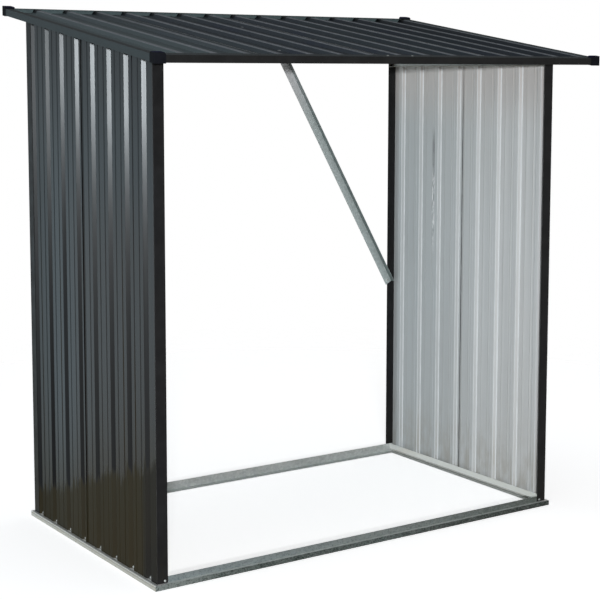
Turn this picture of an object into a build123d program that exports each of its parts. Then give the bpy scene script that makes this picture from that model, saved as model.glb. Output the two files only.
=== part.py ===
# Open-fronted metal log store with a mono-pitch roof.
# Millimetres, +Z up, X along the front, +Y to the rear.
# The origin is on the ground, at the centre of the outline's bounding box.
from build123d import *
from math import atan, cos, degrees, hypot
import os

# ---------------------------------------------------------------- sizes
body_width = 1630.0          # over the outer faces of the two side walls
body_depth = 920.0           # front face of the front posts to rear face of the rear posts
roof_width = 1780.0          # over the verge trims
roof_depth = 1098.0          # over the fascia and the rear trim
front_overhang = 152.0       # fascia ahead of the front posts
fascia_foot_z = 1620.0       # lower edge of the front fascia
roof_rise = 173.0            # rise of the roof over its depth

sheet_t = 1.0                # wall and roof sheet
frame_t = 1.2                # rails, posts, trims and braces

rib_pitch = 116.0
rib_base = 31.0
rib_top = 17.0
rib_height = 13.0            # wall grooves
roof_rib_height = 12.0
crease_width = 8.0           # shallow stiffening crease along each pan
crease_depth = 1.2
crease_spacing = 38.0        # between the two creases of one pan

ledge_z = 17.0               # height of the ledge that walls and posts stand on
upstand_z = 37.0             # top of the base rail
rail_step = 11.0             # base rail's lip beyond the wall face
rail_foot = 30.0             # base rail's flange on the ground

first_groove = 54.0          # centre of a wall's first groove, from the front and from the rear
wall_seam = 488.0            # front edge of a wall's rear panel, from the front
wall_lap = 10.0              # length of the front panel behind or before it
lap_step = 2.6               # how far the lap stands off

post_face = 38.0             # post leg across the front or rear
post_side = 37.0             # post leg along the side wall

trim_height = 23.0           # roof trims, square to the roof
pan_level = 8.0              # underside of the roof sheets above the trims' lower edge

side_rail_z = 1618.0         # lower face of the horizontal side rails
side_rail_height = 30.0
side_rail_flange = 20.0
front_header_z = 1624.0
rear_header_height = 42.0
header_flange = 25.0
gable_rail_drop = 25.0

brace_leg = 32.0             # leg flat against the rear frame
brace_flange = 22.0          # leg standing forward
brace_foot = (786.0, 723.0)  # centre of the lower end, on the rear post (X, Z)
brace_head = (185.0, 1768.0) # centre of the upper end, on the rear header (X, Z)
left_brace_foot = (790.0, 723.0)
left_brace_head = (238.0, 1768.0)  # the left brace is bolted a little further out

cap_leg_x = 40.0
cap_leg_y = 26.0
cap_wall = 1.9
cap_rise = 8.0               # top of the cap above the trims

# ---------------------------------------------------------------- derived
half_w = body_width / 2                      # 815
y_front = -roof_depth / 2 + front_overhang   # front face of the front posts
y_rear = y_front + body_depth                # rear face of the rear posts
roof_x = roof_width / 2
roof_y = roof_depth / 2
pitch = atan(roof_rise / roof_depth)


def slope_z(y, u=0.0):
    """Height at y of the line u above the trims' lower edge, u measured square to the roof."""
    return fascia_foot_z + (y + roof_y) * roof_rise / roof_depth + u / cos(pitch)


def slope_plane(u):
    """The plane u above the trims' lower edge, facing up."""
    return Plane(origin=(0, -roof_y, slope_z(-roof_y, u)), x_dir=(1, 0, 0), z_dir=(0, -roof_rise, roof_depth))


def thicken(points, t):
    """Closed outline of a sheet whose one face runs through points, with t added on the left."""
    normals = []
    for (ax, ay), (bx, by) in zip(points, points[1:]):
        n = hypot(bx - ax, by - ay)
        normals.append((-(by - ay) / n, (bx - ax) / n))
    other = []
    for i, (px, py) in enumerate(points):
        n0 = normals[max(i - 1, 0)]
        n1 = normals[min(i, len(normals) - 1)]
        mx, my = n0[0] + n1[0], n0[1] + n1[1]
        k = 2 * t / (mx * mx + my * my)
        other.append((px + mx * k, py + my * k))
    return points + other[::-1]


def sheet_face(start, end, centres, height, lap=0.0, step=0.0, half_rib=False, plain=(4.0, 4.0)):
    """Face line of a ribbed sheet as (run, depth): pans at depth 0, ribs at depth height.
    lap joggles that much of the start edge by step, over its neighbour's end.
    plain gives the lengths at the start and the end that carry no crease."""
    pts = []
    if lap:
        pts += [(start, step), (start + lap, step), (start + lap + max(1.5, abs(step)), 0.0)]
    elif half_rib:
        top_end = centres[0] + rib_top / 2
        pts += [(start, height), (top_end, height), (centres[0] + rib_base / 2, 0.0)]
    else:
        pts += [(start, 0.0)]
    ribs = centres[1:] if half_rib else centres
    for c in ribs:
        a, b = c - rib_base / 2, c + rib_base / 2
        mid = c - rib_pitch / 2
        for m in (mid - crease_spacing / 2, mid + crease_spacing / 2):
            if m - crease_width / 2 > max(pts[-1][0] + 4, start + plain[0]):
                pts += [(m - crease_width / 2, 0.0), (m, crease_depth), (m + crease_width / 2, 0.0)]
        pts += [(a, 0.0), (c - rib_top / 2, height), (c + rib_top / 2, height), (b, 0.0)]
    mid = ribs[-1] + rib_pitch / 2
    for m in (mid - crease_spacing / 2, mid + crease_spacing / 2):
        if m + crease_width / 2 < end - plain[1]:
            pts += [(m - crease_width / 2, 0.0), (m, crease_depth), (m + crease_width / 2, 0.0)]
    pts += [(end, 0.0)]
    return pts


os.makedirs("parts", exist_ok=True)


def save(piece, name):
    piece.label = name
    export_step(piece, f"parts/{name}.step")


# ---------------------------------------------------------------- base frame
lip_x = half_w + rail_step
lip_front = y_front - rail_step
lip_rear = y_rear + rail_step
groove_back = half_w - rib_height - sheet_t      # inner face of the wall grooves
post_inner_front = y_front + frame_t
post_inner_rear = y_rear - frame_t

with BuildPart() as base_rail_front:
    with BuildSketch(Plane.YZ):
        with BuildLine():
            Polyline(
                (lip_front, 0), (lip_front + rail_foot, 0), (lip_front + rail_foot, frame_t),
                (lip_front + frame_t, frame_t), (lip_front + frame_t, ledge_z - frame_t),
                (post_inner_front + frame_t, ledge_z - frame_t), (post_inner_front + frame_t, ledge_z),
                (lip_front, ledge_z), close=True)
        make_face()
    extrude(amount=lip_x, both=True)
    split(bisect_by=Plane(origin=(-lip_x, lip_front, 0), x_dir=(0, 0, 1), z_dir=(1, -1, 0)), keep=Keep.TOP)
    split(bisect_by=Plane(origin=(lip_x, lip_front, 0), x_dir=(0, 0, 1), z_dir=(-1, -1, 0)), keep=Keep.TOP)
    with BuildSketch(Plane.XY.offset(ledge_z)):
        with Locations((0, post_inner_front + frame_t / 2)):
            Rectangle(2 * (half_w - sheet_t - frame_t - 0.1), frame_t)
    extrude(amount=upstand_z - ledge_z)
save(base_rail_front.part, "base_rail_front")

with BuildPart() as base_rail_rear:
    with BuildSketch(Plane.YZ):
        with BuildLine():
            Polyline(
                (lip_rear, 0), (lip_rear - rail_foot, 0), (lip_rear - rail_foot, frame_t),
                (lip_rear - frame_t, frame_t), (lip_rear - frame_t, ledge_z - frame_t),
                (post_inner_rear - frame_t, ledge_z - frame_t), (post_inner_rear - frame_t, ledge_z),
                (lip_rear, ledge_z), close=True)
        make_face()
    extrude(amount=lip_x, both=True)
    split(bisect_by=Plane(origin=(-lip_x, lip_rear, 0), x_dir=(0, 0, 1), z_dir=(1, 1, 0)), keep=Keep.TOP)
    split(bisect_by=Plane(origin=(lip_x, lip_rear, 0), x_dir=(0, 0, 1), z_dir=(-1, 1, 0)), keep=Keep.TOP)
    with BuildSketch(Plane.XY.offset(ledge_z)):
        with Locations((0, post_inner_rear - frame_t / 2)):
            Rectangle(2 * (half_w - sheet_t - frame_t - 0.1), frame_t)
    extrude(amount=upstand_z - ledge_z)
save(base_rail_rear.part, "base_rail_rear")

# The side rails' ledge is wider, because the wall sheets' grooves reach in to the upstand.
up_in = groove_back - frame_t
mitre_gap_y = lip_x - up_in
with BuildPart() as base_rail_left:
    with BuildSketch(Plane.XZ):
        with BuildLine():
            Polyline(
                (-lip_x, 0), (-lip_x + rail_foot, 0), (-lip_x + rail_foot, frame_t),
                (-lip_x + frame_t, frame_t), (-lip_x + frame_t, ledge_z - frame_t),
                (-up_in, ledge_z - frame_t), (-up_in, ledge_z),
                (-lip_x, ledge_z), close=True)
        make_face()
    extrude(amount=1000, both=True)
    split(bisect_by=Plane(origin=(-lip_x, lip_front, 0), x_dir=(0, 0, 1), z_dir=(-1, 1, 0)), keep=Keep.TOP)
    split(bisect_by=Plane(origin=(-lip_x, lip_rear, 0), x_dir=(0, 0, 1), z_dir=(-1, -1, 0)), keep=Keep.TOP)
    front_end = post_inner_front + frame_t
    rear_end = post_inner_rear - frame_t
    with BuildSketch(Plane.XY.offset(ledge_z - frame_t)):
        with BuildLine():
            Polyline((-up_in, front_end), (-up_in, lip_front + mitre_gap_y), (-lip_x + front_end - lip_front, front_end), close=True)
        make_face()
        with BuildLine():
            Polyline((-up_in, rear_end), (-up_in, lip_rear - mitre_gap_y), (-lip_x + lip_rear - rear_end, rear_end), close=True)
        make_face()
    extrude(amount=frame_t)
    with BuildSketch(Plane.XY.offset(ledge_z)):
        with Locations((-up_in - frame_t / 2, (front_end + rear_end) / 2)):
            Rectangle(frame_t, rear_end - front_end)
    extrude(amount=upstand_z - ledge_z)
save(base_rail_left.part, "base_rail_left")

with BuildPart() as base_rail_right:
    mirror(base_rail_left.part, about=Plane.YZ)
save(base_rail_right.part, "base_rail_right")

# ---------------------------------------------------------------- corner posts
# Angles. A front post's side leg stands inside the wall sheet, a rear post's outside it.
post_x = half_w - sheet_t                        # outer face of a front post's side leg
rear_post_x = half_w + frame_t                   # the same of a rear post


def post_outline(sx, x_face, y_face, inward):
    return [
        (sx * x_face, y_face), (sx * (x_face - post_face), y_face),
        (sx * (x_face - post_face), y_face + inward * frame_t),
        (sx * (x_face - frame_t), y_face + inward * frame_t),
        (sx * (x_face - frame_t), y_face + inward * post_side),
        (sx * x_face, y_face + inward * post_side)]


with BuildPart() as front_left_post:
    with BuildSketch(Plane.XY.offset(ledge_z)):
        with BuildLine():
            Polyline(*post_outline(-1, post_x, y_front, 1), close=True)
        make_face()
    extrude(amount=2000)
    split(bisect_by=slope_plane(pan_level - 0.1), keep=Keep.BOTTOM)
save(front_left_post.part, "front_left_post")

with BuildPart() as front_right_post:
    mirror(front_left_post.part, about=Plane.YZ)
save(front_right_post.part, "front_right_post")

with BuildPart() as rear_left_post:
    with BuildSketch(Plane.XY.offset(ledge_z)):
        with BuildLine():
            Polyline(*post_outline(-1, rear_post_x, y_rear, -1), close=True)
        make_face()
    extrude(amount=2000)
    split(bisect_by=slope_plane(pan_level - frame_t - 0.1), keep=Keep.BOTTOM)
save(rear_left_post.part, "rear_left_post")

with BuildPart() as rear_right_post:
    mirror(rear_left_post.part, about=Plane.YZ)
save(rear_right_post.part, "rear_right_post")

# ---------------------------------------------------------------- headers and rails under the roof
header_half = post_x - frame_t - 0.1
flange_half = groove_back - 0.1                   # the headers' flanges end at the wall grooves
fh_web = post_inner_front                         # the front header's web lies behind the posts' face
fh_back = fh_web + frame_t + header_flange

with BuildPart() as front_header:
    with BuildSketch(Plane.YZ):
        with BuildLine():
            Polyline(
                (fh_web, front_header_z), (fh_web + frame_t, front_header_z),
                (fh_web + frame_t, slope_z(fh_web + frame_t, pan_level - frame_t)),
                (fh_back, slope_z(fh_back, pan_level - frame_t)),
                (fh_back, slope_z(fh_back, pan_level)),
                (fh_web, slope_z(fh_web, pan_level)), close=True)
        make_face()
    extrude(amount=flange_half, both=True)
    with BuildSketch(Plane.YZ):
        with BuildLine():
            Polyline(
                (fh_web, front_header_z), (fh_web + frame_t, front_header_z),
                (fh_web + frame_t, slope_z(fh_web + frame_t, pan_level - frame_t)),
                (fh_web, slope_z(fh_web, pan_level - frame_t)), close=True)
        make_face()
    extrude(amount=header_half, both=True)
    with BuildSketch(Plane.XY.offset(front_header_z)):
        with Locations((0, fh_web + frame_t + 7)):
            Rectangle(2 * (groove_back - frame_t - side_rail_flange - 2), 14)
    extrude(amount=frame_t)
save(front_header.part, "front_header")

rh_front = y_rear - frame_t - header_flange
rh_foot = slope_z(y_rear, pan_level) - rear_header_height
with BuildPart() as rear_header:
    with BuildSketch(Plane.YZ):
        with BuildLine():
            Polyline(
                (rh_front, slope_z(rh_front, pan_level - frame_t)), (y_rear, slope_z(y_rear, pan_level - frame_t)),
                (y_rear, slope_z(y_rear, pan_level)), (rh_front, slope_z(rh_front, pan_level)), close=True)
        make_face()
    extrude(amount=flange_half, both=True)
    with BuildSketch(Plane.YZ):
        with BuildLine():
            Polyline(
                (y_rear - frame_t, rh_foot), (y_rear, rh_foot),
                (y_rear, slope_z(y_rear, pan_level - frame_t)),
                (y_rear - frame_t, slope_z(y_rear - frame_t, pan_level - frame_t)), close=True)
        make_face()
    extrude(amount=rear_post_x - post_face - 0.2, both=True)
save(rear_header.part, "rear_header")

# Horizontal channel along the top of each side, level with the front header.
rail_in = groove_back - frame_t
with BuildPart() as left_side_rail:
    with BuildSketch(Plane.XZ.offset(-(post_inner_front + frame_t))):
        with BuildLine():
            Polyline(
                (-groove_back, side_rail_z), (-rail_in + side_rail_flange, side_rail_z),
                (-rail_in + side_rail_flange, side_rail_z + frame_t), (-rail_in, side_rail_z + frame_t),
                (-rail_in, side_rail_z + side_rail_height - frame_t),
                (-rail_in + side_rail_flange, side_rail_z + side_rail_height - frame_t),
                (-rail_in + side_rail_flange, side_rail_z + side_rail_height),
                (-groove_back, side_rail_z + side_rail_height), close=True)
        make_face()
    extrude(amount=-(post_inner_rear - post_inner_front - frame_t))
save(left_side_rail.part, "left_side_rail")

with BuildPart() as right_side_rail:
    mirror(left_side_rail.part, about=Plane.YZ)
save(right_side_rail.part, "right_side_rail")

# Sloping angle under the roof, which closes the top of each side wall.
g0, g1 = fh_back + 0.2, rh_front - 0.2
g_floor = side_rail_z + side_rail_height + 0.2
g_low_y = -roof_y + (g_floor - slope_z(-roof_y, pan_level - gable_rail_drop)) * roof_depth / roof_rise
with BuildPart() as left_gable_rail:
    with BuildSketch(Plane.YZ.offset(-groove_back)):
        with BuildLine():
            Polyline(
                (g0, g_floor), (g_low_y, g_floor), (g1, slope_z(g1, pan_level - gable_rail_drop)),
                (g1, slope_z(g1, pan_level)), (g0, slope_z(g0, pan_level)), close=True)
        make_face()
    extrude(amount=frame_t)
    with BuildSketch(Plane.YZ.offset(-rail_in)):
        with BuildLine():
            Polyline(
                (g0, slope_z(g0, pan_level - frame_t)), (g1, slope_z(g1, pan_level - frame_t)),
                (g1, slope_z(g1, pan_level)), (g0, slope_z(g0, pan_level)), close=True)
        make_face()
    extrude(amount=header_flange)
save(left_gable_rail.part, "left_gable_rail")

with BuildPart() as right_gable_rail:
    mirror(left_gable_rail.part, about=Plane.YZ)
save(right_gable_rail.part, "right_gable_rail")

# ---------------------------------------------------------------- side walls
# Two sheets a side, four inward grooves to a sheet. On the left the rear panel laps
# over the front one on the outside, and on the right it laps on the inside.
grooves = [y_front + first_groove + rib_pitch * i for i in range(8)]
panel_end = y_front + wall_seam + wall_lap
panel_start = y_front + wall_seam
sheet_rear = y_rear - frame_t - 0.1              # the sheets stop against the rear posts' rear leg

front_panel_face = sheet_face(y_front, panel_end, grooves[:4], rib_height, plain=(post_side, 4.0))


def rear_panel_face(step):
    return sheet_face(panel_start, sheet_rear, grooves[4:], rib_height, wall_lap + 0.2, step, plain=(4.0, post_side))


wall_panels = [
    ("left_wall_front_panel", -1, front_panel_face),
    ("left_wall_rear_panel", -1, rear_panel_face(-lap_step)),
    ("right_wall_front_panel", 1, front_panel_face),
    ("right_wall_rear_panel", 1, rear_panel_face(lap_step)),
]
for name, side, face in wall_panels:
    outline = [(side * (half_w - d), run) for run, d in thicken(face, sheet_t)]
    with BuildPart() as wall_panel:
        with BuildSketch(Plane.XY.offset(ledge_z)):
            with BuildLine():
                Polyline(*outline, close=True)
            make_face()
        extrude(amount=2000)
        split(bisect_by=slope_plane(pan_level - 0.1), keep=Keep.BOTTOM)
    save(wall_panel.part, name)

# ---------------------------------------------------------------- roof
# Four sheets, ribs up and running down the slope. The first rib is cut in half at the left verge.
roof_ribs = [-884.0 + rib_pitch * i for i in range(16)]
seams = [roof_ribs[4] - 24, roof_ribs[8] - 24, roof_ribs[12] - 24]
sheet_left, sheet_right = -roof_x + 2.0, roof_x - 2.0
lap = 10.0
joggle = 12.0
lap_out = 1.1 * sheet_t
roof_runs = [
    ("roof_sheet_1", sheet_face(sheet_left, seams[0], roof_ribs[0:4], roof_rib_height, half_rib=True)),
    ("roof_sheet_2", sheet_face(seams[0] - lap, seams[1], roof_ribs[4:8], roof_rib_height, joggle, lap_out)),
    ("roof_sheet_3", sheet_face(seams[1] - lap, seams[2], roof_ribs[8:12], roof_rib_height, joggle, lap_out)),
    ("roof_sheet_4", sheet_face(seams[2] - lap, sheet_right, roof_ribs[12:16], roof_rib_height, joggle, lap_out)),
]
sheet_rear_y, sheet_front_y = roof_y - 2.5, -roof_y + 7.0
roof_section = Plane(
    origin=(0, sheet_rear_y, slope_z(sheet_rear_y, 0)), x_dir=(1, 0, 0), z_dir=(0, -roof_depth, -roof_rise))
for name, face in roof_runs:
    outline = thicken([(run, pan_level + sheet_t + d) for run, d in face], -sheet_t)
    with BuildPart() as roof_sheet:
        with BuildSketch(roof_section):
            with BuildLine():
                Polyline(*outline, close=True)
            make_face()
        extrude(amount=(sheet_rear_y - sheet_front_y) / cos(pitch))
    save(roof_sheet.part, name)

# ---------------------------------------------------------------- roof trims
top_u = trim_height
fascia_flange = 40.0         # the fascia's top flange, over the rib ends
rear_flange = 10.0
verge_flange = 27.0
shelf = 18.0                 # flange that the sheets rest on
verge_shelf = 30.0
hem = 8.0


def flange(y0, y1, u0, u1):
    """Outline along the slope between y0 and y1, from u0 to u1 above the trims' lower edge."""
    return [(y0, slope_z(y0, u0)), (y1, slope_z(y1, u0)), (y1, slope_z(y1, u1)), (y0, slope_z(y0, u1))]


with BuildPart() as front_fascia:
    with BuildSketch(Plane.YZ):
        with BuildLine():
            Polyline(*flange(-roof_y, -roof_y + frame_t, 0, top_u), close=True)
        make_face()
    extrude(amount=roof_x, both=True)
    with BuildSketch(Plane.YZ):
        for depth, u in ((fascia_flange, top_u - frame_t), (shelf, pan_level - frame_t), (hem, 0.0)):
            with BuildLine():
                Polyline(*flange(-roof_y + frame_t / 2, -roof_y + depth, u, u + frame_t), close=True)
            make_face()
    extrude(amount=roof_x - frame_t, both=True)
save(front_fascia.part, "front_fascia")

with BuildPart() as rear_roof_trim:
    with BuildSketch(Plane.YZ):
        with BuildLine():
            Polyline(*flange(roof_y - frame_t, roof_y, 0, top_u), close=True)
        make_face()
    extrude(amount=roof_x, both=True)
    with BuildSketch(Plane.YZ):
        for depth, u in ((rear_flange, top_u - frame_t), (shelf, pan_level - frame_t), (hem, 0.0)):
            with BuildLine():
                Polyline(*flange(roof_y - depth, roof_y - frame_t / 2, u, u + frame_t), close=True)
            make_face()
    extrude(amount=roof_x - frame_t, both=True)
save(rear_roof_trim.part, "rear_roof_trim")

with BuildPart() as left_verge_trim:
    with BuildSketch(Plane.YZ.offset(-roof_x)):
        with BuildLine():
            Polyline(*flange(-roof_y + frame_t, roof_y - frame_t, 0, top_u), close=True)
        make_face()
    extrude(amount=frame_t)
    for y0, y1, u, width in (
            (-roof_y + fascia_flange, roof_y - rear_flange, top_u - frame_t, verge_flange),
            (-roof_y + shelf, roof_y - shelf, pan_level - frame_t, verge_shelf),
            (-roof_y + hem, roof_y - hem, 0.0, hem)):
        with BuildSketch(Plane.YZ.offset(-roof_x + frame_t / 2)):
            with BuildLine():
                Polyline(*flange(y0, y1, u, u + frame_t), close=True)
            make_face()
        extrude(amount=width - frame_t / 2)
save(left_verge_trim.part, "left_verge_trim")

with BuildPart() as right_verge_trim:
    mirror(left_verge_trim.part, about=Plane.YZ)
save(right_verge_trim.part, "right_verge_trim")

# ---------------------------------------------------------------- moulded corner caps
# Each wraps the joint of two trims, stands above them and is rounded down at its two ends.
cap_gap = 0.1
cap_out = cap_wall + cap_gap
cap_x0 = -roof_x - cap_out
cap_x1 = cap_x0 + cap_leg_x
cap_end_radius = 9.0
cap_edge_radius = 2.5
cap_top = trim_height + cap_rise

left_caps = {}
for sy in (-1, 1):
    outer_y = sy * (roof_y + cap_out)
    inner_y = outer_y - sy * cap_leg_y
    y0, y1 = min(outer_y, inner_y), max(outer_y, inner_y)
    front = 0 if sy < 0 else -1          # which end of the Y order is the outer one
    back = -1 if sy < 0 else 0
    with BuildPart() as left_cap:
        with BuildSketch(Plane.XY.offset(fascia_foot_z - 20)) as plan:
            with Locations(((cap_x0 + cap_x1) / 2, (y0 + y1) / 2)):
                Rectangle(cap_leg_x, cap_leg_y)
            fillet(plan.vertices().group_by(Axis.X)[0].sort_by(Axis.Y)[front], radius=4)
            fillet(plan.vertices().group_by(Axis.X)[-1].sort_by(Axis.Y)[back], radius=cap_end_radius)
        extrude(amount=300)
        with BuildSketch(Plane.YZ.offset(cap_x0 - 1)) as side:
            with BuildLine():
                Polyline(*flange(y0, y1, -cap_out, cap_top), close=True)
            make_face()
            fillet(side.vertices().group_by(Axis.X)[front].sort_by(Axis.Y)[-1], radius=cap_edge_radius)
            fillet(side.vertices().group_by(Axis.X)[back].sort_by(Axis.Y)[-1], radius=cap_end_radius)
        extrude(amount=cap_leg_x + 2, mode=Mode.INTERSECT)
        with BuildSketch(roof_section) as head:
            with BuildLine():
                Polyline((cap_x0, -20), (cap_x1, -20), (cap_x1, cap_top), (cap_x0, cap_top), close=True)
            make_face()
            fillet(head.vertices().group_by(Axis.X)[0].sort_by(Axis.Y)[-1], radius=cap_edge_radius)
            fillet(head.vertices().group_by(Axis.X)[-1].sort_by(Axis.Y)[-1], radius=cap_end_radius)
        extrude(amount=2000, both=True, mode=Mode.INTERSECT)
        with BuildSketch(Plane.YZ.offset(-roof_x - cap_gap)):
            near = sy * (roof_y + cap_gap)
            with BuildLine():
                Polyline(*flange(min(near, near - sy * 60), max(near, near - sy * 60),
                                 -cap_gap, trim_height + cap_gap), close=True)
            make_face()
        extrude(amount=60, mode=Mode.SUBTRACT)
    left_caps[sy] = left_cap.part

save(left_caps[-1], "front_left_corner_cap")
save(left_caps[1], "rear_left_corner_cap")

with BuildPart() as front_right_cap:
    mirror(left_caps[-1], about=Plane.YZ)
save(front_right_cap.part, "front_right_corner_cap")

with BuildPart() as rear_right_cap:
    mirror(left_caps[1], about=Plane.YZ)
save(rear_right_cap.part, "rear_right_corner_cap")

# ---------------------------------------------------------------- rear braces
# Angle sections: one leg flat against the rear post and header, the other standing forward
# along the upper edge.
brace_face_y = y_rear - frame_t
for name, side, (foot_x, foot_z), (head_x, head_z) in (
        ("right_rear_brace", 1, brace_foot, brace_head),
        ("left_rear_brace", -1, left_brace_foot, left_brace_head)):
    run_x, run_z = head_x - foot_x, head_z - foot_z
    brace_length = hypot(run_x, run_z)
    with BuildPart() as rear_brace:
        # in this section the first axis is across the brace, up and outwards; the second is along Y
        with BuildSketch(Plane(
                origin=(foot_x, brace_face_y, foot_z), x_dir=(run_z, 0, -run_x), z_dir=(run_x, 0, run_z))):
            with BuildLine():
                Polyline(
                    (-brace_leg / 2, 0), (brace_leg / 2, 0), (brace_leg / 2, -brace_flange),
                    (brace_leg / 2 - frame_t, -brace_flange), (brace_leg / 2 - frame_t, -frame_t),
                    (-brace_leg / 2, -frame_t), close=True)
            make_face()
        extrude(amount=brace_length)
        if side < 0:
            mirror(about=Plane.YZ, mode=Mode.REPLACE)
    save(rear_brace.part, name)
    print(name, "length", round(brace_length, 1))

print("roof pitch", round(degrees(pitch), 3))
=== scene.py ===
import math

import bmesh
import bpy
from mathutils import Matrix, Vector


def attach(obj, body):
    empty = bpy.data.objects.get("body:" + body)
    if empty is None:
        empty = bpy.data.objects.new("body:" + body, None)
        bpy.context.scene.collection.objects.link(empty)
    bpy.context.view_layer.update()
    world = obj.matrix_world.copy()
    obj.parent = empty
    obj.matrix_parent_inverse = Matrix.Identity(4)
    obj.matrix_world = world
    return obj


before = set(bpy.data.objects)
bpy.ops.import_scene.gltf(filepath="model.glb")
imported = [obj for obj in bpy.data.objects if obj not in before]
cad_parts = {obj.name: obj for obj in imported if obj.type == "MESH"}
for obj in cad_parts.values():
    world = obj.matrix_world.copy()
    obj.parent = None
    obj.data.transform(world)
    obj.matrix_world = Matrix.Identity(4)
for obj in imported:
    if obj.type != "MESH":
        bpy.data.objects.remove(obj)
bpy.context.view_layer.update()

scene = bpy.context.scene
scene.view_settings.view_transform = "Standard"
scene.view_settings.look = "None"


# ---------------------------------------------------------------- node helpers
class Nodes:
    """Short names for building a material's node tree."""

    def __init__(self, name):
        self.mat = bpy.data.materials.new(name)
        self.mat.use_nodes = True
        self.tree = self.mat.node_tree
        self.tree.nodes.clear()
        self.out = self.tree.nodes.new("ShaderNodeOutputMaterial")
        self.bsdf = self.tree.nodes.new("ShaderNodeBsdfPrincipled")
        self.link(self.bsdf.outputs[0], self.out.inputs[0])
        self.pos = self.tree.nodes.new("ShaderNodeTexCoord").outputs["Object"]

    def link(self, a, b):
        self.tree.links.new(a, b)

    def new(self, kind, **props):
        n = self.tree.nodes.new(kind)
        for k, v in props.items():
            setattr(n, k, v)
        return n

    def put(self, socket, value):
        if isinstance(value, bpy.types.NodeSocket):
            self.link(value, socket)
        else:
            socket.default_value = value

    def scaled(self, sx, sy, sz, rot=(0, 0, 0), off=(0, 0, 0)):
        m = self.new("ShaderNodeMapping")
        m.inputs["Scale"].default_value = (sx, sy, sz)
        m.inputs["Rotation"].default_value = rot
        m.inputs["Location"].default_value = off
        self.link(self.pos, m.inputs["Vector"])
        return m.outputs[0]

    def noise(self, vector, scale=1.0, detail=3.0, rough=0.55, distort=0.0):
        n = self.new("ShaderNodeTexNoise")
        self.link(vector, n.inputs["Vector"])
        n.inputs["Scale"].default_value = scale
        n.inputs["Detail"].default_value = detail
        n.inputs["Roughness"].default_value = rough
        n.inputs["Distortion"].default_value = distort
        return n.outputs["Fac"]

    def cells(self, vector, scale=1.0, feature="F1", out="Distance"):
        n = self.new("ShaderNodeTexVoronoi", feature=feature)
        self.link(vector, n.inputs["Vector"])
        n.inputs["Scale"].default_value = scale
        return n.outputs[out]

    def math(self, op, a, b=0.0, c=None, clamp=False):
        n = self.new("ShaderNodeMath", operation=op, use_clamp=clamp)
        self.put(n.inputs[0], a)
        self.put(n.inputs[1], b)
        if c is not None:
            self.put(n.inputs[2], c)
        return n.outputs[0]

    def span(self, value, a, b, lo=0.0, hi=1.0, smooth=True):
        n = self.new("ShaderNodeMapRange", interpolation_type="SMOOTHSTEP" if smooth else "LINEAR")
        self.put(n.inputs["Value"], value)
        n.inputs["From Min"].default_value = a
        n.inputs["From Max"].default_value = b
        n.inputs["To Min"].default_value = lo
        n.inputs["To Max"].default_value = hi
        return n.outputs[0]

    def ramp(self, value, stops):
        n = self.new("ShaderNodeValToRGB")
        self.put(n.inputs[0], value)
        r = n.color_ramp
        while len(r.elements) > len(stops):
            r.elements.remove(r.elements[-1])
        while len(r.elements) < len(stops):
            r.elements.new(0.5)
        for e, (p, c) in zip(r.elements, stops):
            e.position = p
            e.color = (*c, 1.0) if len(c) == 3 else c
        return n.outputs[0]

    def mix(self, fac, a, b, mode="MIX"):
        n = self.new("ShaderNodeMix", data_type="RGBA", blend_type=mode)
        self.put(n.inputs[0], fac)
        for s, v in ((n.inputs[6], a), (n.inputs[7], b)):
            self.put(s, (*v, 1.0) if isinstance(v, tuple) and len(v) == 3 else v)
        return n.outputs[2]

    def bump(self, height, strength, distance, normal=None):
        n = self.new("ShaderNodeBump")
        n.inputs["Strength"].default_value = strength
        n.inputs["Distance"].default_value = distance
        self.link(height, n.inputs["Height"])
        if normal is not None:
            self.link(normal, n.inputs["Normal"])
        return n.outputs[0]

    def axis(self, name):
        s = self.new("ShaderNodeSeparateXYZ")
        self.link(self.pos, s.inputs[0])
        return s.outputs[name]

    def band(self, value, centre, half, soft):
        """1 within half of centre, fading to 0 over soft."""
        d = self.math("ABSOLUTE", self.math("SUBTRACT", value, centre))
        return self.span(d, half, half + soft, 1.0, 0.0)

    def facing(self, name):
        """One component of the surface's own direction."""
        g = self.new("ShaderNodeNewGeometry")
        s = self.new("ShaderNodeSeparateXYZ")
        self.link(g.outputs["True Normal"], s.inputs[0])
        return s.outputs[name]


# ---------------------------------------------------------------- materials
PITCH = 0.116
ROOF_SLOPE = 0.173 / 1.098
SLOPE_COS = 1 / math.hypot(1, ROOF_SLOPE)
GROOVE0 = -0.343             # centre of a wall's first groove
ROOF_RIB0 = -0.884           # centre of the roof's first rib


def creases(n, along, first):
    """1 on the two shallow creases of every pan, 0 elsewhere."""
    shifted = n.math("SUBTRACT", along, first + PITCH / 2)
    run = n.math("WRAP", shifted, PITCH / 2, -PITCH / 2)
    off = n.math("SUBTRACT", n.math("ABSOLUTE", run), 0.019)
    return n.span(n.math("ABSOLUTE", off), 0.0008, 0.0034, 1.0, 0.0)


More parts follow.
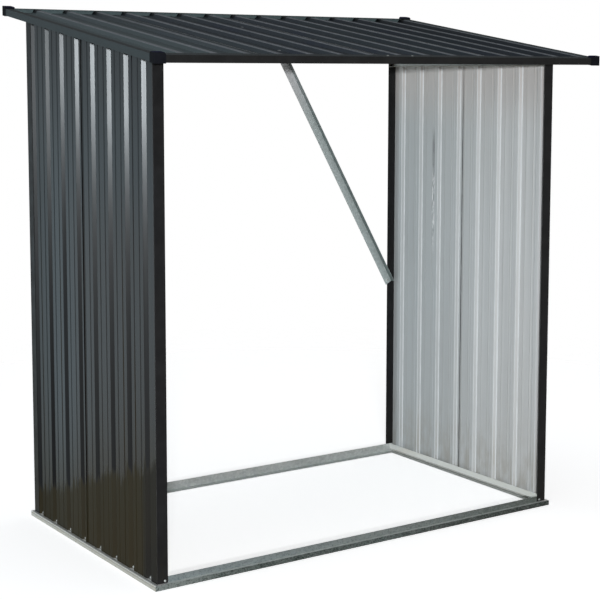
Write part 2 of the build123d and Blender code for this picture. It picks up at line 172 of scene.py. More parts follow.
def wall_sheet(name, outward):
    """Dark paint on the outer side, pale grey on the inner side."""
    n = Nodes(name)
    x, y, z = n.axis("X"), n.axis("Y"), n.axis("Z")
    streak = n.noise(n.scaled(60, 60, 0.9), 1.0, 4.0, 0.6)
    cloud = n.noise(n.scaled(3.2, 3.2, 1.4), 1.0, 3.0, 0.5)
    blotch = n.noise(n.scaled(22, 22, 9), 1.0, 5.0, 0.62)
    grain = n.noise(n.scaled(1, 1, 1), 900.0, 2.0, 0.6)
    peel = n.noise(n.scaled(1, 1, 1), 220.0, 2.0, 0.5)
    crease = creases(n, y, GROOVE0)
    nx = n.math("MULTIPLY", n.facing("X"), outward)
    outer_side = n.math("GREATER_THAN", nx, -0.35)
    # how far a point is below a line that falls from the front to the rear of the foot
    line = n.math("MULTIPLY_ADD", y, -0.335, 0.268) if outward < 0 else n.math("MULTIPLY_ADD", cloud, 0.10, 0.045)
    below = n.math("SUBTRACT", line, z)
    below = n.math("ADD", below, n.math("ADD", n.math("MULTIPLY", n.math("SUBTRACT", blotch, 0.5), 0.08),
                                     n.math("MULTIPLY", n.math("SUBTRACT", n.noise(n.scaled(110, 110, 5), 1.0, 4.0, 0.7), 0.5), 0.20)))
    soil = n.math("MULTIPLY", n.span(below, -0.014, 0.020), 0.85)
    foot = n.span(below, 0.02, 0.30)
    # outer paint
    outer = n.ramp(streak, [(0.25, (0.0175, 0.0190, 0.0205)), (0.5, (0.0225, 0.0245, 0.0260)), (0.75, (0.0275, 0.0300, 0.0320))])
    outer = n.mix(n.math("MULTIPLY", n.span(cloud, 0.40, 0.70), 0.45), outer, (0.022, 0.026, 0.027))
    # warmer towards the front below eye height, darker at the upper rear, and duller at the rear
    warm = n.math("MULTIPLY", n.span(z, 1.38, 0.98), n.span(y, 0.26, 0.08))
    warm = n.math("MULTIPLY", warm, n.span(nx, 0.60, 0.90, 0.20, 0.90))
    outer = n.mix(warm, outer, (0.0245, 0.0184, 0.0148))
    upper_rear_dark = n.math("MULTIPLY", n.span(z, 1.42, 1.15), n.span(y, 0.28, 0.38))
    outer = n.mix(n.math("MULTIPLY", upper_rear_dark, 0.8), outer, (0.0075, 0.0080, 0.0085))
    # painted shade along the two shallow creases of every pan
    outer = n.mix(n.math("MULTIPLY", crease, 0.5), outer, (0.008, 0.009, 0.010))
    # painted shadow of the lap gap along the panel seam
    seam = n.band(y, 0.0915, 0.0010, 0.0022)
    outer = n.mix(n.math("MULTIPLY", seam, 0.8), outer, (0.005, 0.005, 0.005))
    # painted shadow at the tops of the grooves, tucked under the verge trim
    reach = n.math("SUBTRACT", z, n.math("MULTIPLY_ADD", y, ROOF_SLOPE, 1.620 + 0.549 * ROOF_SLOPE))
    tucked_shadow = n.math("MULTIPLY", n.span(reach, -0.0075, -0.0050), n.span(n.math("ABSOLUTE", x), 0.8143, 0.8132))
    outer = n.mix(n.math("MULTIPLY", tucked_shadow, 0.95), outer, (0.002, 0.002, 0.002))
    # on the left wall this brown zone along the foot is a painted reflection of dark ground; on the right wall it is
    # soil; near the front corner it turns dark grey
    outer = n.mix(n.math("MULTIPLY", soil, 0.90), outer, (0.035, 0.0275, 0.0085))
    outer = n.mix(n.math("MULTIPLY", foot, 0.60), outer, (0.035, 0.0250, 0.0085))
    corner = n.math("MULTIPLY", n.math("MAXIMUM", soil, foot), n.span(y, -0.330, -0.285, 0.80, 0.0))
    outer = n.mix(corner, outer, (0.013, 0.0125, 0.0125))
    # inner paint
    inner = n.ramp(streak, [(0.25, (0.65, 0.665, 0.66)), (0.5, (0.715, 0.73, 0.725)), (0.75, (0.78, 0.795, 0.79))])
    inner = n.mix(n.math("MULTIPLY", n.span(cloud, 0.3, 0.75), 0.4), inner, (0.62, 0.62, 0.60))
    # painted shade: the inner paint is darker and cooler towards the rear
    inner = n.mix(n.math("MULTIPLY", n.span(y, -0.28, 0.40), 0.68), inner, (0.46, 0.495, 0.50))
    # painted shade along the two shallow creases of every pan
    inner = n.mix(n.math("MULTIPLY", crease, 0.35), inner, (0.40, 0.40, 0.39))
    low = n.math("MULTIPLY", n.span(z, 0.02, 0.34, 1.0, 0.0), n.span(blotch, 0.35, 0.65))
    inner = n.mix(n.math("MULTIPLY", low, 0.45), inner, (0.36, 0.32, 0.25))
    # painted shadow along the lapped edge at the panel seam
    seam_in = n.band(y, 0.0915, 0.0006, 0.0016)
    inner = n.mix(n.math("MULTIPLY", seam_in, n.span(n.noise(n.scaled(1, 1, 14), 1.0, 3.0, 0.6), 0.30, 0.60, 0.60, 0.90)), inner, (0.06, 0.06, 0.06))
    if outward > 0:
        # a darker streak above the chalky patch
        dark_streak = n.math("MULTIPLY", n.math("MULTIPLY", n.band(y, 0.268, 0.0045, 0.0060), n.band(z, 1.25, 0.05, 0.10)), n.span(blotch, 0.36, 0.55))
        inner = n.mix(n.math("MULTIPLY", dark_streak, 0.75), inner, (0.24, 0.24, 0.25))
        # a chalky rubbed patch beside the last groove but one
        slant = n.noise(n.scaled(170, 170, 34, off=(0.3, 0.1, 0.6)), 1.0, 3.0, 0.6)
        chalk = n.math("MULTIPLY", n.band(y, 0.2640, 0.0070, 0.0080), n.band(z, 1.05, 0.08, 0.12))
        inner = n.mix(n.math("MULTIPLY", chalk, n.span(slant, 0.46, 0.38, 0.0, 0.75)), inner, (0.33, 0.34, 0.35))
        inner = n.mix(n.math("MULTIPLY", chalk, n.span(slant, 0.50, 0.58)), inner, (0.98, 0.98, 0.98))
    # painted highlight: pale lines along the two fold edges of each inner groove
    fold = n.math("ABSOLUTE", n.math("WRAP", n.math("SUBTRACT", y, GROOVE0), PITCH / 2, -PITCH / 2))
    fold_highlight = n.math("MAXIMUM", n.band(fold, 0.0085, 0.0005, 0.0016), n.band(fold, 0.0155, 0.0005, 0.0016))
    inner = n.mix(n.span(z, 1.34, 1.60, 0.0, 0.85), inner, (0.64, 0.605, 0.58))
    inner = n.mix(n.math("MULTIPLY", fold_highlight, n.span(blotch, 0.25, 0.60, 0.45, 0.95)), inner, (0.87, 0.90, 0.91))
    n.put(n.bsdf.inputs["Base Color"], n.mix(outer_side, inner, outer))
    dull = n.math("SUBTRACT", n.span(y, 0.30, 0.50, 0.0, 0.11), n.math("MULTIPLY", n.band(y, 0.18, 0.09, 0.10), 0.042))
    dull = n.math("ADD", dull, n.math("MULTIPLY", n.span(z, 1.44, 1.57), n.span(y, 0.05, -0.10, 0.0, 0.022)))
    rough_out = n.math("ADD", n.span(streak, 0.2, 0.8, 0.234, 0.270), n.math("ADD", n.math("ADD", dull, n.math("MULTIPLY", tucked_shadow, 0.4)), n.math("MULTIPLY", soil, 0.42)))
    rough_in = n.span(streak, 0.2, 0.8, 0.34, 0.44)
    m = n.new("ShaderNodeMix", data_type="FLOAT")
    n.put(m.inputs[0], outer_side); n.put(m.inputs[2], rough_in); n.put(m.inputs[3], rough_out)
    n.put(n.bsdf.inputs["Roughness"], m.outputs[0])
    n.bsdf.inputs["Specular IOR Level"].default_value = 0.235
    n.bsdf.inputs["Specular Tint"].default_value = (0.93, 0.985, 1.0, 1.0)
    h = n.bump(peel, 0.05, 0.0006)
    n.put(n.bsdf.inputs["Normal"], n.bump(grain, 0.05, 0.0003, h))
    return n.mat


def roof_sheet():
    n = Nodes("roof_sheet")
    x, y = n.axis("X"), n.axis("Y")
    streak = n.noise(n.scaled(70, 1.2, 1.2), 1.0, 4.0, 0.6)
    cloud = n.noise(n.scaled(2.5, 1.5, 1.5), 1.0, 3.0, 0.5)
    blotch = n.noise(n.scaled(26, 26, 26), 1.0, 4.0, 0.6)
    tint = n.noise(n.scaled(9, 4, 4, off=(3.1, 0.7, 0.0)), 1.0, 3.0, 0.55)
    grain = n.noise(n.scaled(1, 1, 1), 700.0, 2.0, 0.6)
    up = n.math("GREATER_THAN", n.facing("Z"), 0.1)
    top = n.ramp(streak, [(0.25, (0.018, 0.024, 0.033)), (0.5, (0.025, 0.032, 0.042)), (0.75, (0.034, 0.043, 0.053))])
    top = n.mix(n.math("MULTIPLY", n.span(cloud, 0.4, 0.7), 0.5), top, (0.030, 0.042, 0.044))
    top = n.mix(n.math("MULTIPLY", n.span(tint, 0.52, 0.66), 0.55), top, (0.020, 0.026, 0.044))
    top = n.mix(n.math("MULTIPLY", n.span(blotch, 0.5, 0.75), 0.35), top, (0.046, 0.054, 0.052))
    green = n.math("MULTIPLY", n.span(x, -0.95, -0.25, 1.0, 0.0), n.span(cloud, 0.15, 0.50, 0.3, 1.0))
    top = n.mix(n.math("MULTIPLY", green, 0.90), top, (0.100, 0.128, 0.134))
    top = n.mix(n.math("MULTIPLY", n.span(x, 0.05, 0.80), 0.90), top, (0.014, 0.018, 0.024))
    # painted highlight along the tops of the ribs
    z = n.axis("Z")
    level = n.math("MULTIPLY", n.math("SUBTRACT", z, n.math("MULTIPLY_ADD", y, ROOF_SLOPE, 1.620 + 0.549 * ROOF_SLOPE)), SLOPE_COS)
    rib_top_highlight = n.math("MULTIPLY", n.span(level, 0.0188, 0.0204), n.span(blotch, 0.25, 0.65, 0.65, 1.0))
    top = n.mix(rib_top_highlight, top, (0.185, 0.200, 0.220))
    # painted shade on the rib ends under the rear trim's flange
    rib_end_shade = n.math("MULTIPLY", n.span(level, 0.0100, 0.0125), n.span(y, 0.508, 0.518))
    top = n.mix(n.math("MULTIPLY", rib_end_shade, 0.92), top, (0.004, 0.005, 0.006))
    # painted shade along the two shallow creases of every pan
    top = n.mix(n.math("MULTIPLY", creases(n, x, ROOF_RIB0), 0.35), top, (0.014, 0.016, 0.018))
    # three small pale dots
    for cx, cy in ((-0.0906, 0.262), (-0.3225, -0.335), (0.357, 0.018)):
        dx = n.math("SUBTRACT", x, cx)
        dy = n.math("MULTIPLY", n.math("SUBTRACT", y, cy), 0.45)
        d = n.math("SQRT", n.math("ADD", n.math("MULTIPLY", dx, dx), n.math("MULTIPLY", dy, dy)))
        top = n.mix(n.span(d, 0.003, 0.0045, 1.0, 0.0), top, (0.30, 0.31, 0.31))
    under = n.ramp(streak, [(0.25, (0.30, 0.305, 0.30)), (0.5, (0.34, 0.345, 0.34)), (0.75, (0.38, 0.385, 0.38))])
    under = n.mix(n.math("MULTIPLY", n.span(blotch, 0.45, 0.75), 0.3), under, (0.24, 0.235, 0.22))
    n.put(n.bsdf.inputs["Base Color"], n.mix(up, under, top))
    n.put(n.bsdf.inputs["Roughness"], n.span(cloud, 0.3, 0.7, 0.46, 0.58))
    n.bsdf.inputs["Specular IOR Level"].default_value = 0.15
    n.put(n.bsdf.inputs["Normal"], n.bump(grain, 0.08, 0.0004))
    return n.mat


def dark_paint(name, base, light, rough, spec=0.4, side_sheen=None, low_soil=False, folded=False):
    """Near-black paint, with an optional painted reflection: a lighter tone on faces turned to the left and right."""
    n = Nodes(name)
    mottled = n.noise(n.scaled(1, 1, 1), 18.0, 4.0, 0.6)
    fine = n.noise(n.scaled(1, 1, 1), 90.0, 4.0, 0.65)
    grain = n.noise(n.scaled(1, 1, 1), 800.0, 2.0, 0.6)
    col = n.mix(n.span(mottled, 0.3, 0.75), base, light)
    if side_sheen:
        # painted reflection: faces turned to the left and right are painted lighter
        turned = n.span(n.math("ABSOLUTE", n.facing("X")), 0.55, 0.85)
        col = n.mix(n.math("MULTIPLY", turned, n.span(mottled, 0.25, 0.7, 0.75, 1.0)), col, side_sheen)
    col = n.mix(n.math("MULTIPLY", n.span(fine, 0.58, 0.75), 0.35), col, (0.022, 0.022, 0.021))
    if folded:
        # the upward faces are painted lighter, and the sheet's inner side is a pale undercoat
        x, y, fx, fy = n.axis("X"), n.axis("Y"), n.facing("X"), n.facing("Y")
        upper = n.math("MULTIPLY", n.span(n.facing("Z"), 0.80, 0.95), n.span(fine, 0.30, 0.60, 0.65, 1.0))
        col = n.mix(upper, col, (0.052, 0.060, 0.064))
        within = None
        for along, facing in ((x, fx), (y, fy)):
            for sign, edge in ((1, 0.86), (-1, 0.86)) if along is x else ((1, 0.52), (-1, 0.52)):
                here = n.math("MULTIPLY", n.math("GREATER_THAN", n.math("MULTIPLY", along, sign), edge),
                              n.math("LESS_THAN", n.math("MULTIPLY", facing, sign), -0.5))
                within = here if within is None else n.math("MAXIMUM", within, here)
        col = n.mix(n.math("MULTIPLY", within, n.span(fine, 0.25, 0.70, 0.75, 1.0)), col, (0.120, 0.165, 0.170))
    if low_soil:
        z = n.axis("Z")
        soil = n.math("MULTIPLY", n.span(z, 0.02, 0.22, 1.0, 0.0), n.span(fine, 0.35, 0.65))
        col = n.mix(n.math("MULTIPLY", soil, 0.5), col, (0.024, 0.021, 0.015))
    n.put(n.bsdf.inputs["Base Color"], col)
    n.put(n.bsdf.inputs["Roughness"], n.span(mottled, 0.3, 0.7, rough - 0.05, rough + 0.06))
    n.bsdf.inputs["Specular IOR Level"].default_value = spec
    n.put(n.bsdf.inputs["Normal"], n.bump(grain, 0.07, 0.0004))
    return n.mat


def galvanised(name="galvanised_rail", bright=1.0, base=False, patchy=1.0, tone=(1.0, 1.0, 1.0), painted_shading=False):
    n = Nodes(name)
    warp = n.noise(n.scaled(1, 1, 1), 60.0, 2.0, 0.5)
    cell = n.new("ShaderNodeTexVoronoi", feature="F1")
    n.link(n.scaled(1, 1, 1), cell.inputs["Vector"])
    cell.inputs["Scale"].default_value = 110.0
    g = n.new("ShaderNodeRGBToBW")
    n.link(cell.outputs["Color"], g.inputs[0])
    spangle = g.outputs[0]
    stain = n.noise(n.scaled(9, 9, 9), 1.0, 5.0, 0.65)
    patch = n.noise(n.scaled(34, 34, 60), 1.0, 5.0, 0.62)
    b = bright


    def shade(r, g, bl):
        return (r * b * tone[0], g * b * tone[1], bl * b * tone[2])

    mid = (0.44, 0.46, 0.45)
    lo = tuple(m + (c - m) * patchy for c, m in zip((0.34, 0.365, 0.355), mid))
    hi = tuple(m + (c - m) * patchy for c, m in zip((0.55, 0.565, 0.55), mid))
    col = n.ramp(spangle, [(0.15, shade(*lo)), (0.5, shade(*mid)), (0.85, shade(*hi))])
    col = n.mix(n.math("MULTIPLY", n.span(stain, 0.5, 0.75), 0.5 * patchy), col, shade(0.28, 0.30, 0.29))
    col = n.mix(n.math("MULTIPLY", n.span(patch, 0.48, 0.66), 0.55 * patchy), col, shade(0.17, 0.20, 0.18))
    if painted_shading:
        # painted light: the brace is painted brighter towards its top, where the header shades it
        col = n.mix(n.span(n.axis("Z"), 1.36, 1.66, 0.0, 1.0), col, (0.97, 0.95, 0.96))
        # painted shade on the faces turned sideways and downwards
        turned = n.math("MULTIPLY", n.span(n.math("ABSOLUTE", n.facing("X")), 0.72, 0.82), n.span(n.facing("Z"), -0.2, -0.4))
        col = n.mix(n.math("MULTIPLY", turned, 0.85), col, shade(0.10, 0.12, 0.12))
    if base:
        x, y, z = n.axis("X"), n.axis("Y"), n.axis("Z")
        ax = n.math("ABSOLUTE", x)
        light = n.span(patch, 0.30, 0.70, 0.88, 1.0)
        # the lip along the front is darker than the upstand, and gets darker to the right
        front = n.math("MULTIPLY", n.span(n.facing("Y"), -0.5, -0.85), n.span(y, -0.30, -0.34))
        lip = n.ramp(n.span(x, -0.83, 0.83), [(0.0, (0.36, 0.41, 0.39)), (0.06, (0.15, 0.19, 0.175)), (0.25, (0.095, 0.125, 0.113)), (0.55, (0.155, 0.195, 0.185)), (0.78, (0.075, 0.095, 0.085)), (1.0, (0.052, 0.068, 0.058))])
        upright = n.ramp(n.span(x, -0.83, 0.83), [(0.0, (0.34, 0.40, 0.41)), (0.5, (0.335, 0.375, 0.365)), (0.85, (0.24, 0.275, 0.26)), (1.0, (0.15, 0.175, 0.155))])
        face = n.mix(n.span(z, 0.0165, 0.0180), lip, upright)
        col = n.mix(n.math("MULTIPLY", front, n.span(patch, 0.30, 0.70, 0.84, 0.98)), col, face)
        speck = n.noise(n.scaled(150, 150, 190), 1.0, 3.0, 0.65)
        col = n.mix(n.math("MULTIPLY", front, n.math("MULTIPLY", n.span(speck, 0.52, 0.60), n.span(z, 0.0165, 0.0180, 0.62, 0.30))), col, (0.022, 0.030, 0.025))
        col = n.mix(n.math("MULTIPLY", front, n.math("MULTIPLY", n.span(speck, 0.46, 0.38), 0.30)), col, (0.42, 0.47, 0.44))
        # the ledges along the sides get painted shade on their tops behind painted highlights along the outer edge and
        # the lip's upper edge
        side = n.span(n.math("ABSOLUTE", n.facing("X")), 0.5, 0.85)
        above = n.math("GREATER_THAN", z, 0.0178)
        col = n.mix(n.math("MULTIPLY", side, 0.75), col, n.mix(n.span(patch, 0.30, 0.70), (0.82, 0.805, 0.765), (0.75, 0.735, 0.70)))
        col = n.mix(n.math("MULTIPLY", side, n.math("MULTIPLY", n.band(z, 0.0120, 0.0012, 0.0018), 0.45)), col, (0.36, 0.37, 0.35))
        # painted highlight along the lip's upper edge
        col = n.mix(n.math("MULTIPLY", side, n.band(z, 0.0165, 0.0010, 0.0010)), col, (0.98, 0.98, 0.96))
        col = n.mix(n.math("MULTIPLY", side, n.math("MULTIPLY", above, light)), col, (0.95, 0.96, 0.94))
        # painted shade on the ledge tops, then painted highlights on their outer band and rounded edge
        flat = n.math("MULTIPLY", n.span(n.facing("Z"), 0.80, 0.95), n.span(ax, 0.7970, 0.7990))
        col = n.mix(n.math("MULTIPLY", flat, 0.8), col, (0.34, 0.36, 0.34))
        col = n.mix(n.math("MULTIPLY", n.math("MULTIPLY", n.span(n.facing("Z"), 0.80, 0.95), light), n.band(ax, 0.8075, 0.0055, 0.0065)), col, (0.97, 0.97, 0.95))
        edge = n.math("MULTIPLY", n.span(n.facing("Z"), 0.30, 0.60), n.span(ax, 0.8205, 0.8215))
        col = n.mix(n.math("MULTIPLY", edge, light), col, (0.97, 0.97, 0.95))
    n.put(n.bsdf.inputs["Base Color"], col)
    n.bsdf.inputs["Metallic"].default_value = 0.55
    n.put(n.bsdf.inputs["Roughness"], n.math("ADD", n.span(spangle, 0.1, 0.9, 0.38, 0.52), n.math("MULTIPLY", warp, 0.08)))
    n.put(n.bsdf.inputs["Normal"], n.bump(patch, 0.12, 0.0006))
    return n.mat


def moulded():
    n = Nodes("cap_plastic")
    fine = n.noise(n.scaled(1, 1, 1), 1400.0, 2.0, 0.6)
    soft = n.noise(n.scaled(1, 1, 1), 30.0, 3.0, 0.5)
    side = n.mix(n.span(soft, 0.3, 0.7), (0.007, 0.008, 0.011), (0.011, 0.012, 0.016))
    top = n.mix(n.span(soft, 0.3, 0.7), (0.006, 0.006, 0.026), (0.009, 0.009, 0.036))
    # painted highlight: the upward faces are painted navy over the near-black sides
    n.put(n.bsdf.inputs["Base Color"], n.mix(n.span(n.facing("Z"), 0.3, 0.7), side, top))
    n.put(n.bsdf.inputs["Roughness"], n.span(soft, 0.3, 0.7, 0.62, 0.72))
    n.bsdf.inputs["Specular IOR Level"].default_value = 0.06
    n.put(n.bsdf.inputs["Normal"], n.bump(fine, 0.12, 0.0003))
    return n.mat


mats = {
    "left_wall": wall_sheet("wall_sheet_left", -1.0),
    "right_wall": wall_sheet("wall_sheet_right", 1.0),
    "roof": roof_sheet(),
    "frame": dark_paint("dark_frame", (0.0150, 0.0148, 0.0155), (0.0205, 0.0203, 0.0210), 0.46, 0.15, low_soil=True),
    "trim": dark_paint("dark_trim", (0.0165, 0.0165, 0.0165), (0.0225, 0.0225, 0.0225), 0.50, 0.12, side_sheen=(0.054, 0.070, 0.076), folded=True),
    "rail": galvanised("galvanised_rail", 1.6, True, 0.40),
    "brace": galvanised("galvanised_brace", 1.66, False, 0.22, (0.96, 1.0, 1.0), True),
    "top_rail": galvanised("galvanised_top_rail", 1.25, False, 0.22, (1.0, 0.92, 0.87)),
    "dull_fixing": galvanised("dull_fixing", 0.6, False, 0.5),
    "cap": moulded(),
    "fixing": galvanised("plated_fixing", 1.6),
    "wall_fixing": galvanised("plated_wall_fixing", 2.05, patchy=0.2),
}


def which(node):
    if node.startswith("left_wall"):
        return "left_wall"
    if node.startswith("right_wall"):
        return "right_wall"
    if node.startswith("roof_sheet"):
        return "roof"
    if node.endswith("_post") or node == "front_header":
        return "frame"
    if "trim" in node or "fascia" in node:
        return "trim"
    if node.endswith("_cap"):
        return "cap"
    if node.startswith("base_rail"):
        return "rail"
    return "brace" if node.endswith("brace") else "top_rail"


SHEETS = ("left_wall", "right_wall", "roof")
for node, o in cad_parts.items():
    kind = which(node)
    o.data.materials.clear()
    o.data.materials.append(mats[kind])
    if kind == "cap":
        continue
    weld = o.modifiers.new("weld", "WELD")
    weld.merge_threshold = 1e-5
    fold = o.modifiers.new("folded_edges", "BEVEL")
    fold.width = 0.0003 if kind in SHEETS else 0.0005
    fold.segments = 1 if kind in SHEETS else 2
    fold.limit_method = "ANGLE"
    fold.angle_limit = math.radians(40)
    fold.harden_normals = False

# ---------------------------------------------------------------- fixings


def revolve(bm, profile, place, axis, steps=24, shape=None, spin=0.0):
    """Turns (radius, height) points about axis at place. shape(angle, ring) scales a ring's radius."""
    axis = Vector(axis).normalized()
    side = axis.orthogonal().normalized()
    other = axis.cross(side)
    rings = []
    for k, (r, h) in enumerate(profile):
        if r == 0:
            rings.append([bm.verts.new(Vector(place) + axis * h)])
            continue
        ring = []
        for i in range(steps):
            a = 2 * math.pi * i / steps + spin
            q = r * (shape(2 * math.pi * i / steps, k) if shape else 1.0)
            ring.append(bm.verts.new(Vector(place) + side * (q * math.cos(a)) + other * (q * math.sin(a)) + axis * h))
        rings.append(ring)
    for lower, upper in zip(rings, rings[1:]):
        if len(lower) == 1 and len(upper) == 1:
            continue
        for i in range(steps):
            j = (i + 1) % steps
            if len(lower) == 1:
                bm.faces.new((lower[0], upper[i], upper[j]))
            elif len(upper) == 1:
                bm.faces.new((lower[i], upper[0], lower[j]))
            else:
                bm.faces.new((lower[i], upper[i], upper[j], lower[j]))


def pan_screw(bm, place, axis, r=0.004):
    """A domed head with a cross recess, closed underneath."""
    h = r * 0.62

    def lobes(angle, ring):
        if ring in (6, 7):
            return 0.42 + 0.58 * abs(math.cos(2 * angle)) ** 6
        return 1.0

    profile = [(0, 0), (r, 0), (r, h * 0.30), (r * 0.93, h * 0.62), (r * 0.74, h * 0.88), (r * 0.60, h * 0.97),
               (r * 0.52, h * 0.97), (r * 0.40, h * 0.35), (0, h * 0.22)]
    revolve(bm, profile, place, axis, 32, lobes)


def hex_factor(angle, ring):
    sector = (angle % (math.pi / 3)) - math.pi / 6
    return math.cos(math.pi / 6) / math.cos(sector)


def bolt_head(bm, place, axis, spin=0.0):
    """A washer and a hexagon head with its corners turned off."""
    revolve(bm, [(0, 0), (0.0064, 0), (0.0068, 0.0003), (0.0068, 0.0011), (0.0064, 0.0014), (0, 0.0014)], place, axis, 32)
    base = Vector(place) + Vector(axis).normalized() * 0.0013

    def shape(angle, ring):
        return hex_factor(angle, ring) if ring in (1, 2, 3) else 1.0

    revolve(bm, [(0, 0), (0.0056, 0), (0.0056, 0.0034), (0.0054, 0.0038), (0.0044, 0.0042), (0, 0.0042)], base, axis, 36, shape, spin)


def nut(bm, place, axis, spin=0.0):
    """A washer, a hexagon nut and the bolt's end."""
    revolve(bm, [(0, 0), (0.0064, 0), (0.0068, 0.0003), (0.0068, 0.0011), (0.0064, 0.0014), (0, 0.0014)], place, axis, 32)
    base = Vector(place) + Vector(axis).normalized() * 0.0013

    def shape(angle, ring):
        return hex_factor(angle, ring) if ring in (1, 2, 3) else 1.0

    revolve(bm, [(0, 0), (0.0056, 0), (0.0056, 0.0042), (0.0054, 0.0046), (0.0044, 0.0050), (0.0030, 0.0050),
                 (0.0030, 0.0062), (0.0025, 0.0067), (0, 0.0067)], base, axis, 36, shape, spin)


def piece(name, build, material):
    bm = bmesh.new()
    build(bm)
    bmesh.ops.recalc_face_normals(bm, faces=bm.faces)
    mesh = bpy.data.meshes.new(name)
    bm.to_mesh(mesh)
    bm.free()
    mesh.materials.append(mats[material])
    o = bpy.data.objects.new(name, mesh)
    scene.collection.objects.link(o)
    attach(o, "root")
    return o


WALL_X, POST_X = 0.815, 0.814
Y_FRONT, Y_REAR = -0.397, 0.523


def post_screws(bm):
    for sx in (-1, 1):
        pan_screw(bm, (sx * 0.787, Y_FRONT, 0.0245), (0, -1, 0))
        pan_screw(bm, (sx * 0.787, Y_REAR, 0.0245), (0, 1, 0))


def wall_foot_screws(bm):
    """Small nuts on the screws that hold each groove's foot to the base rail."""
    def shape(angle, ring):
        return hex_factor(angle, ring) if ring in (3, 4, 5) else 1.0

    profile = [(0, 0), (0.0047, 0), (0.0047, 0.0010), (0.0042, 0.0010), (0.0042, 0.0040), (0.0038, 0.0045),
               (0.0023, 0.0045), (0.0023, 0.0068), (0.0018, 0.0073), (0, 0.0073)]
    for sx in (-1, 1):
        for k in range(8):
            revolve(bm, profile, (sx * 0.802, GROOVE0 + k * PITCH + 0.0025, 0.0232), (sx, 0, 0), 36, shape, 0.3 * k)


def on_slope(x, y, u):
    return (x, y, 1.620 + (y + 0.549) * ROOF_SLOPE + u / SLOPE_COS)


def fascia_screws(bm):
    up = (0, -ROOF_SLOPE * SLOPE_COS, SLOPE_COS)
    for x in (-0.036, 0.064):
        pan_screw(bm, on_slope(x, -0.5310, 0.023), up, 0.0038)


BRACES = ((1, (0.786, 0.723), (0.185, 1.768)), (-1, (0.790, 0.723), (0.238, 1.768)))


def brace_bolts(bm):
    for sx, foot, head in BRACES:
        run = Vector((head[0] - foot[0], 0, head[1] - foot[1])).normalized()
        for (px, pz), step in ((foot, 0.014), (head, -0.016)):
            x, z = px + run.x * step, pz + run.z * step
            bolt_head(bm, (sx * x, Y_REAR - 0.0024, z), (0, -1, 0), 0.4)
            nut(bm, (sx * x, Y_REAR, z), (0, 1, 0), 0.9)


piece("post_foot_screws", post_screws, "fixing")
piece("wall_foot_screws", wall_foot_screws, "wall_fixing")
piece("fascia_screws", fascia_screws, "dull_fixing")
piece("brace_bolts", brace_bolts, "fixing")

# ---------------------------------------------------------------- floor
floor_mesh = bpy.data.meshes.new("floor")
bm = bmesh.new()
bmesh.ops.create_circle(bm, cap_ends=True, radius=9.0, segments=96)
bm.to_mesh(floor_mesh)
bm.free()
floor = bpy.data.objects.new("floor", floor_mesh)
scene.collection.objects.link(floor)
floor.location = (0, 0, -0.0005)
floor.visible_glossy = False
n = Nodes("floor")
n.bsdf.inputs["Base Color"].default_value = (0.90, 0.90, 0.90, 1)
n.bsdf.inputs["Roughness"].default_value = 0.9
n.bsdf.inputs["Specular IOR Level"].default_value = 0.1
n.bsdf.inputs["Emission Color"].default_value = (1, 1, 1, 1)
n.link(n.math("MULTIPLY", n.new("ShaderNodeLightPath").outputs["Is Camera Ray"], 0.60), n.bsdf.inputs["Emission Strength"])
clear = n.new("ShaderNodeBsdfTransparent")
blend = n.new("ShaderNodeMixShader")
length = n.new("ShaderNodeVectorMath", operation="LENGTH")
n.link(n.pos, length.inputs[0])
below = n.new("ShaderNodeNewGeometry").outputs["Backfacing"]
n.link(n.math("MAXIMUM", n.span(length.outputs["Value"], 1.6, 4.0), below), blend.inputs[0])
n.link(n.bsdf.outputs[0], blend.inputs[1])
n.link(clear.outputs[0], blend.inputs[2])
n.link(blend.outputs[0], n.out.inputs[0])
floor.data.materials.append(n.mat)

# ---------------------------------------------------------------- light
world = bpy.data.worlds.new("studio")
scene.world = world
world.use_nodes = True
t = world.node_tree
t.nodes.clear()
out = t.nodes.new("ShaderNodeOutputWorld")
coord = t.nodes.new("ShaderNodeTexCoord")
sep = t.nodes.new("ShaderNodeSeparateXYZ")
t.links.new(coord.outputs["Generated"], sep.inputs[0])


def grade(value, a, b, lo, hi):
    m = t.nodes.new("ShaderNodeMapRange")
    m.interpolation_type = "SMOOTHSTEP"
    t.links.new(value, m.inputs["Value"])
    for key, v in (("From Min", a), ("From Max", b)):
        m.inputs[key].default_value = v
    for key, v in (("To Min", lo), ("To Max", hi)):
        if isinstance(v, bpy.types.NodeSocket):
            t.links.new(v, m.inputs[key])
        else:
            m.inputs[key].default_value = v
    return m.outputs[0]


def join(op, a, b):
    m = t.nodes.new("ShaderNodeMath")
    m.operation = op
    for socket, v in zip(m.inputs, (a, b)):
        if isinstance(v, bpy.types.NodeSocket):
            t.links.new(v, socket)
        else:
            socket.default_value = v
    return m.outputs[0]


# a pale studio wall behind and to the left, a dim room in front and to the right, moderate overhead
wide = join("MULTIPLY", grade(sep.outputs["X"], 0.45, -0.25, 0.0, 1.0), grade(sep.outputs["Y"], -0.25, 0.45, 0.0, 1.0))
wide = join("MULTIPLY", wide, grade(sep.outputs["Z"], 0.06, -0.09, 0.54, 1.38))
corner = join("MULTIPLY", grade(sep.outputs["X"], 0.15, 0.45, 0.0, 1.0), grade(sep.outputs["Y"], 0.1, 0.5, 0.0, 1.0))
sides = join("ADD", join("MULTIPLY", wide, 0.82 - 0.14), join("SUBTRACT", 0.14, join("MULTIPLY", corner, 0.14 * 0.65)))
over = grade(sep.outputs["Z"], 0.50, 0.95, sides, 0.55)
far_side = join("MULTIPLY", join("MULTIPLY", grade(sep.outputs["X"], 0.2, 0.5, 0.0, 0.42), grade(sep.outputs["Y"], 0.1, 0.5, 0.0, 1.0)), grade(sep.outputs["Z"], 0.12, 0.0, 0.0, 1.0))
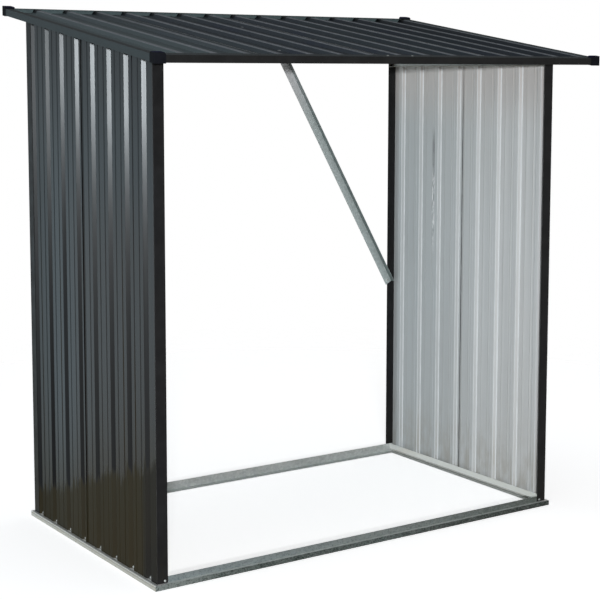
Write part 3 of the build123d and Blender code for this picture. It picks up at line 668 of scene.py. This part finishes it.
right = join("MULTIPLY", grade(sep.outputs["X"], 0.70, 0.95, 0.0, 0.9), grade(sep.outputs["Z"], -0.45, -0.05, 0.3, 1.0))
mul = t.nodes.new("ShaderNodeMath"); mul.operation = "ADD"
t.links.new(over, mul.inputs[0]); t.links.new(join("MAXIMUM", far_side, right), mul.inputs[1])
tint = t.nodes.new("ShaderNodeMix"); tint.data_type = "RGBA"
t.links.new(wide, tint.inputs[0])
tint.inputs[6].default_value = (1.0, 1.0, 1.0, 1.0)
tint.inputs[7].default_value = (0.80, 0.985, 1.09, 1.0)
ground = t.nodes.new("ShaderNodeMix"); ground.data_type = "RGBA"
t.links.new(grade(sep.outputs["Z"], -0.245, -0.305, 0.0, 1.0), ground.inputs[0])
lower = t.nodes.new("ShaderNodeMix"); lower.data_type = "RGBA"
t.links.new(grade(sep.outputs["Z"], -0.44, -0.60, 0.0, 1.0), lower.inputs[0])
t.links.new(tint.outputs[2], ground.inputs[6])
lower.inputs[6].default_value = (0.37, 0.26, 0.06, 1.0)
lower.inputs[7].default_value = (0.27, 0.28, 0.28, 1.0)
t.links.new(lower.outputs[2], ground.inputs[7])
light = t.nodes.new("ShaderNodeBackground")
t.links.new(ground.outputs[2], light.inputs["Color"])
t.links.new(mul.outputs[0], light.inputs["Strength"])
back = t.nodes.new("ShaderNodeBackground")
back.inputs["Color"].default_value = (1, 1, 1, 1)
back.inputs["Strength"].default_value = 1.0
path = t.nodes.new("ShaderNodeLightPath")
mixw = t.nodes.new("ShaderNodeMixShader")
t.links.new(path.outputs["Is Camera Ray"], mixw.inputs[0])
t.links.new(light.outputs[0], mixw.inputs[1]); t.links.new(back.outputs[0], mixw.inputs[2])
t.links.new(mixw.outputs[0], out.inputs[0])


def area(name, place, target, w, h, watts, colour=(1, 1, 1)):
    d = bpy.data.lights.new(name, "AREA")
    d.shape = "RECTANGLE"
    d.size, d.size_y = w, h
    d.energy = watts
    d.color = colour
    o = bpy.data.objects.new(name, d)
    o.location = place
    o.rotation_mode = "QUATERNION"
    o.rotation_quaternion = (Vector(target) - Vector(place)).to_track_quat("-Z", "Y")
    scene.collection.objects.link(o)
    return o


area("key", (-4.05, -6.30, 1.75), (0.0, 0.0, 1.30), 0.5, 0.12, 312, (0.975, 0.995, 1.025))

# ---------------------------------------------------------------- camera
yaw, pitch = math.radians(33.514), math.radians(6.122)
cam_data = bpy.data.cameras.new("camera")
cam_data.sensor_width = 36.0
cam_data.lens = 86.989
cam_data.shift_x = 0.025
cam_data.shift_y = -0.11667
cam_data.clip_start, cam_data.clip_end = 0.05, 200.0
cam = bpy.data.objects.new("camera", cam_data)
cam.location = (-2.88226, -4.23515, 1.58676)
look = Vector((math.sin(yaw) * math.cos(pitch), math.cos(yaw) * math.cos(pitch), -math.sin(pitch)))
cam.rotation_mode = "QUATERNION"
cam.rotation_quaternion = look.to_track_quat("-Z", "Y")
scene.collection.objects.link(cam)
scene.camera = cam
